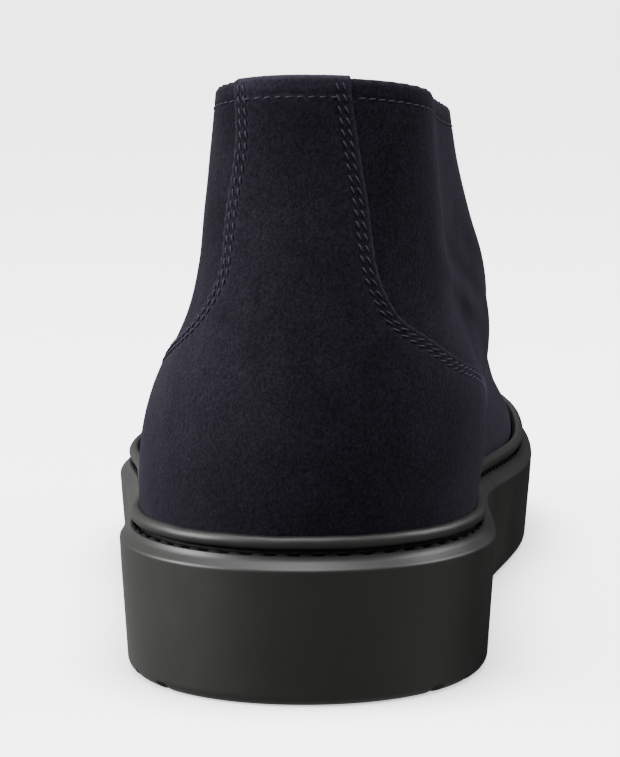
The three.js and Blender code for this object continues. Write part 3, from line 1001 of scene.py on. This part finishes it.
def makeVamp():
    row = np.linspace(*vampSheet["rows"])[:, None]
    a = np.linspace(0, 1, vampSheet["around"])[None]
    turn = openTurns(row, a, vampSheet["back"] * ramp(row, *vampSheet["backRows"]))
    lip = vampSheet["lip"]
    edge = (seams["throatRow"] + lip["over"] - row) * lip["rowHeight"]
    across = np.abs(np.abs(turn) - half)
    rise = np.where(across < lip["turn"], edgeRise(np.maximum(edge, 0), lip["round"]), 1)
    tucked = lip["depth"] * (1 - rise) * smooth((lip["turn"] - across) / lip["fade"])
    out = layers["vamp"] - np.where(row > seams["throatRow"] - lip["rows"], tucked, 0)
    outer = onUpper(row, turn, out)[0]
    inner = onUpper(row, turn, out - vampSheet["thick"])[0]
    makeObject("vamp", *weld(*slab(outer, inner)), materials["vamp"], "suede", ("upper",))


liningSheet = {
    "rows": ((0.4, 6.5, 50), (6.6, 9.7, 60), (9.73, 10, 12)), "around": (220, 0.03, 0.12),
    "lip": 0.5, "thick": 0.33,
}


def makeLining():
    rows = np.concatenate([np.linspace(*span) for span in liningSheet["rows"]])[:, None]
    a = packed(*liningSheet["around"])[None]
    turn = openTurns(rows, a, 0)
    bare = onUpper(rows, turn, 0, False)[0]
    edges = [distanceTo(bare, collarEdge(-half, half))]
    edges += [distanceTo(bare, throatEdge(side, seams["throatRow"])) for side in (1, -1)]
    nearest = np.minimum(edges[0], np.minimum(edges[1], edges[2]))
    lip = layers["rollTo"] - liningSheet["lip"]
    out = layers["lining"] + (lip - layers["lining"]) * (1 - edgeRise(nearest, layers["roll"]))
    face = onUpper(rows, turn, out)[0]
    back = onUpper(rows, turn, out + liningSheet["thick"])[0]
    makeObject("lining", *weld(*slab(back, face)), materials["lining"], "lining")


makeVamp()
makeQuarter(1, "quarterInner")
makeQuarter(-1, "quarterOuter")
makePanel()
makeLining()
print("vamp, quarters, back panel and lining made")


# the footbed, the tongue and the lace
footbed = {
    "strips": 181, "across": (41, 0.16, 0.3), "edge": 2.9, "low": 5.0, "high": 1.2,
    "curl": 1.44, "curlWidth": 9, "sag": 0.5, "sagWidth": 30,
}


def makeFootbed():
    # strips straight across the foot, each with its points drawn to the edges, where it curls up
    turns = np.linspace(0, half, footbed["strips"])
    across = packed(*footbed["across"])[None]
    inner, outer = levelRing(turns, -footbed["edge"]), levelRing(-turns, -footbed["edge"])
    points = blend(outer[:, None], inner[:, None], across[..., None])
    rim = np.concatenate([inner, outer[::-1]])[:, :2]
    away = np.full(points.shape[:2], 1e9)
    for part in np.array_split(rim, 12):
        away = np.minimum(away, np.linalg.norm(points[:, :, None, :2] - part[None, None], axis=-1).min(-1))
    curl = footbed["curl"] * (1 - smooth(away / footbed["curlWidth"]))
    sag = footbed["sag"] * smooth(away / footbed["sagWidth"])
    heights = rimHeight(points[..., 1])
    top, bottom = points.copy(), points.copy()
    top[..., 2] = heights - footbed["high"] + curl - sag
    bottom[..., 2] = heights - footbed["low"]
    body = weld(*slab(top + shift, bottom + shift))
    makeObject("footbed", *body, materials["footbed"], "insole_leather", ("insole",))


# toward its top the tongue narrows, rounds its corners and swells, each from a row on over a span of rows
tongue = {
    "rows": (6.3, 10.25), "halfTurn": 0.6, "upward": (70, 0.08, 0.25), "around": (60, 0.1, 0.25),
    "out": -3.15, "thick": 1.9, "round": 1.0, "rub": (1.6, 0.6),
    "narrow": 0.12, "narrowRows": (9.6, 0.65), "corner": 0.55, "cornerRows": (8.6, 1.6),
    "plump": 0.5, "plumpEdge": 7, "plumpRows": (8.8, 1), "plumpOut": 0.4,
}


def makeTongue():
    rows = blend(*tongue["rows"], packed(*tongue["upward"]))[:, None]
    turns = (half + tongue["halfTurn"] * blend(1, -1, packed(*tongue["around"])))[None]
    narrow = 1 - tongue["narrow"] * ramp(rows, *tongue["narrowRows"]) ** 2
    aside = (turns - half) / tongue["halfTurn"]
    turns = half + (turns - half) * narrow
    rows = rows - tongue["corner"] * np.abs(aside) ** 3 * ramp(rows, *tongue["cornerRows"])
    bare = onUpper(rows, turns, 0, False)[0]
    corners = [np.linalg.norm(bare - bare[:, end:end + 1], axis=-1) for end in (0, bare.shape[1] - 1)]
    sides = np.minimum(corners[0], corners[1])
    top = np.linalg.norm(bare - bare[-1:], axis=-1)
    near = np.minimum(sides, top)
    edge = edgeRise(near, tongue["round"])
    middle = tongue["out"] - tongue["thick"] / 2
    swell = tongue["plump"] * smooth(near / tongue["plumpEdge"]) * ramp(rows, *tongue["plumpRows"])
    crown = onUpper(rows, turns, middle + edge * tongue["thick"] / 2 + swell * tongue["plumpOut"])[0]
    under = onUpper(rows, turns, middle - edge * tongue["thick"] / 2 - swell)[0]
    piece = makeObject("tongueFlap", *slab(crown, under), materials["tongue"], "suede", ("tongue",))
    markWear(piece, rubbed(near, *tongue["rub"]))


lace = {
    "width": 4.4, "thick": 1.25, "over": 1.1, "bow": 0.5, "flatFrom": 4.0,
    "dip": 2.6, "dipWidth": 3.4, "dive": (4.2, 2.8, 1.4), "holeWidth": 3.0625, "holeThick": 2.1,
    "rings": 61, "sides": 20, "square": 0.7,
}


def makeLaceBar(row, name, node):
    # down through the inner hole, over the throat and down through the outer hole, as one flat braid
    ends = eyeletTurn(row, 1), eyeletTurn(row, -1) + full
    across = np.linspace(0, 1, lace["rings"])
    turn = blend(*ends, across)
    points, normals = onUpper(np.full_like(turn, row), turn, layers["quarter"] + lace["over"])
    points = points + normals * (lace["bow"] * np.sin(np.pi * across))[:, None]
    near = np.minimum(across, 1 - across) * runLength(points)[-1]
    points = points - normals * (lace["dip"] * (1 - smooth(near / lace["dipWidth"])) ** 2)[:, None]
    dive = np.array(lace["dive"])[:, None]
    steps = len(dive)
    path = np.vstack([points[0] - normals[0] * dive, points, points[-1] - normals[-1] * dive[::-1]])
    faceUp = np.vstack([np.repeat(normals[:1], steps, 0), normals, np.repeat(normals[-1:], steps, 0)])
    along = normalise(np.gradient(path, axis=0))
    upward = normalise(onUpper(row + 0.05, half)[0] - onUpper(row - 0.05, half)[0])
    wide = normalise(upward - along * (along @ upward)[:, None])
    thick = normalise(np.cross(along, wide))
    thick = thick * np.sign((thick * faceUp).sum(-1, keepdims=True) + 1e-6)
    # the braid is drawn together in the holes, and flat between them
    flat = np.concatenate([np.zeros(steps), smooth(near / lace["flatFrom"]), np.zeros(steps)])
    width = blend(lace["holeWidth"], lace["width"], flat) / 2
    depth = blend(lace["holeThick"], lace["thick"], flat) / 2
    angles = np.linspace(0, full, lace["sides"] + 1)[:-1]
    cosine = np.cos(angles)
    shape = np.stack([np.sign(cosine) * np.abs(cosine) ** lace["square"], np.sin(angles)], -1)
    body = path[:, None] + wide[:, None] * (width[:, None] * shape[None, :, 0])[..., None]
    body = body + thick[:, None] * (depth[:, None] * shape[None, :, 1])[..., None]
    makeObject(name, body, tubeFaces(len(path), len(angles)), materials["lace"], "lace", (node,))


def makeLace():
    for i, row in enumerate(eyelets["rows"]):
        makeLaceBar(row, f"laceBar{i + 1}", f"lace_bar_{i + 1}")


makeFootbed()
makeTongue()
makeLace()
print("footbed, tongue and lace made")


# the seams' stitches
def lineOn(curve, out):
    return onUpper(*curve.T, out)


# where the runs stop: rows, points left out at an end, and turns kept clear of the panel's seam
stops = {
    "sunk": 0.12, "panel": (1.3, 9.97), "back": 36, "front": 6, "throat": 6.95, "top": 12,
    "seam": 9.7, "inside": 0.05, "beside": 0.03, "gap": 9.8, "gapExtra": 1.2,
}


def makeSeamStitches():
    panelRuns, quarterRuns, collarRuns = [], [], []
    onPanel, onQuarter = (layers[sheet] - stops["sunk"] for sheet in ("panel", "quarter"))
    for side in (1, -1):
        seam = panelSeam(side, *stops["panel"])
        edge = quarterEdge(side)[stops["back"]:]
        for distance in layers["seamRows"]:
            panelRuns.append(lineOn(inset(seam, side * distance), onPanel))
            quarterRuns.append(lineOn(inset(edge, side * distance)[:-stops["front"]], onQuarter))
        throat = inset(throatEdge(side, stops["throat"]), side * layers["throatStitch"])
        collarRuns.append(lineOn(throat[:-stops["top"]], onQuarter))
    seamIn, seamOut = (panelTurn(stops["seam"], side) for side in (1, -1))
    gapIn, gapOut = (float(gapTurn(stops["gap"], side, stops["gapExtra"])) for side in (1, -1))
    spans = (
        (-seamOut + stops["inside"], seamIn - stops["inside"], onPanel),
        (seamIn + stops["beside"], half - gapIn, onQuarter),
        (-half + gapOut, -seamOut - stops["beside"], onQuarter),
    )
    for start, end, out in spans:
        collarRuns.append(lineOn(inset(collarEdge(start, end), -layers["collarStitch"]), out))
    makeStitches("panelStitches", panelRuns, seamStitch, materials["thread"])
    makeStitches("quarterStitches", quarterRuns, seamStitch, materials["thread"])
    makeStitches("collarStitches", collarRuns, topStitch, materials["thread"])


tackStitch = {
    "pitch": 4.6, "length": 4.4, "radius": 0.27, "rise": 0.2,
    "threads": 5, "row": 6.98, "step": 0.028,
}


def makeTacks():
    # a few threads side by side across the foot of each facing
    runs = []
    for side in (1, -1):
        for thread in range(tackStitch["threads"]):
            row = tackStitch["row"] + thread * tackStitch["step"]
            reach = np.linspace(0.9, 5.6, 12)
            turn = np.array([half - float(gapTurn(np.array(row), side, extra)) for extra in reach])
            line = np.stack([np.full_like(turn, row), side * turn], -1)
            runs.append(lineOn(line, layers["quarter"]))
    makeStitches("barTacks", runs, tackStitch, materials["thread"])


makeSeamStitches()
makeTacks()
print("seam stitches made")
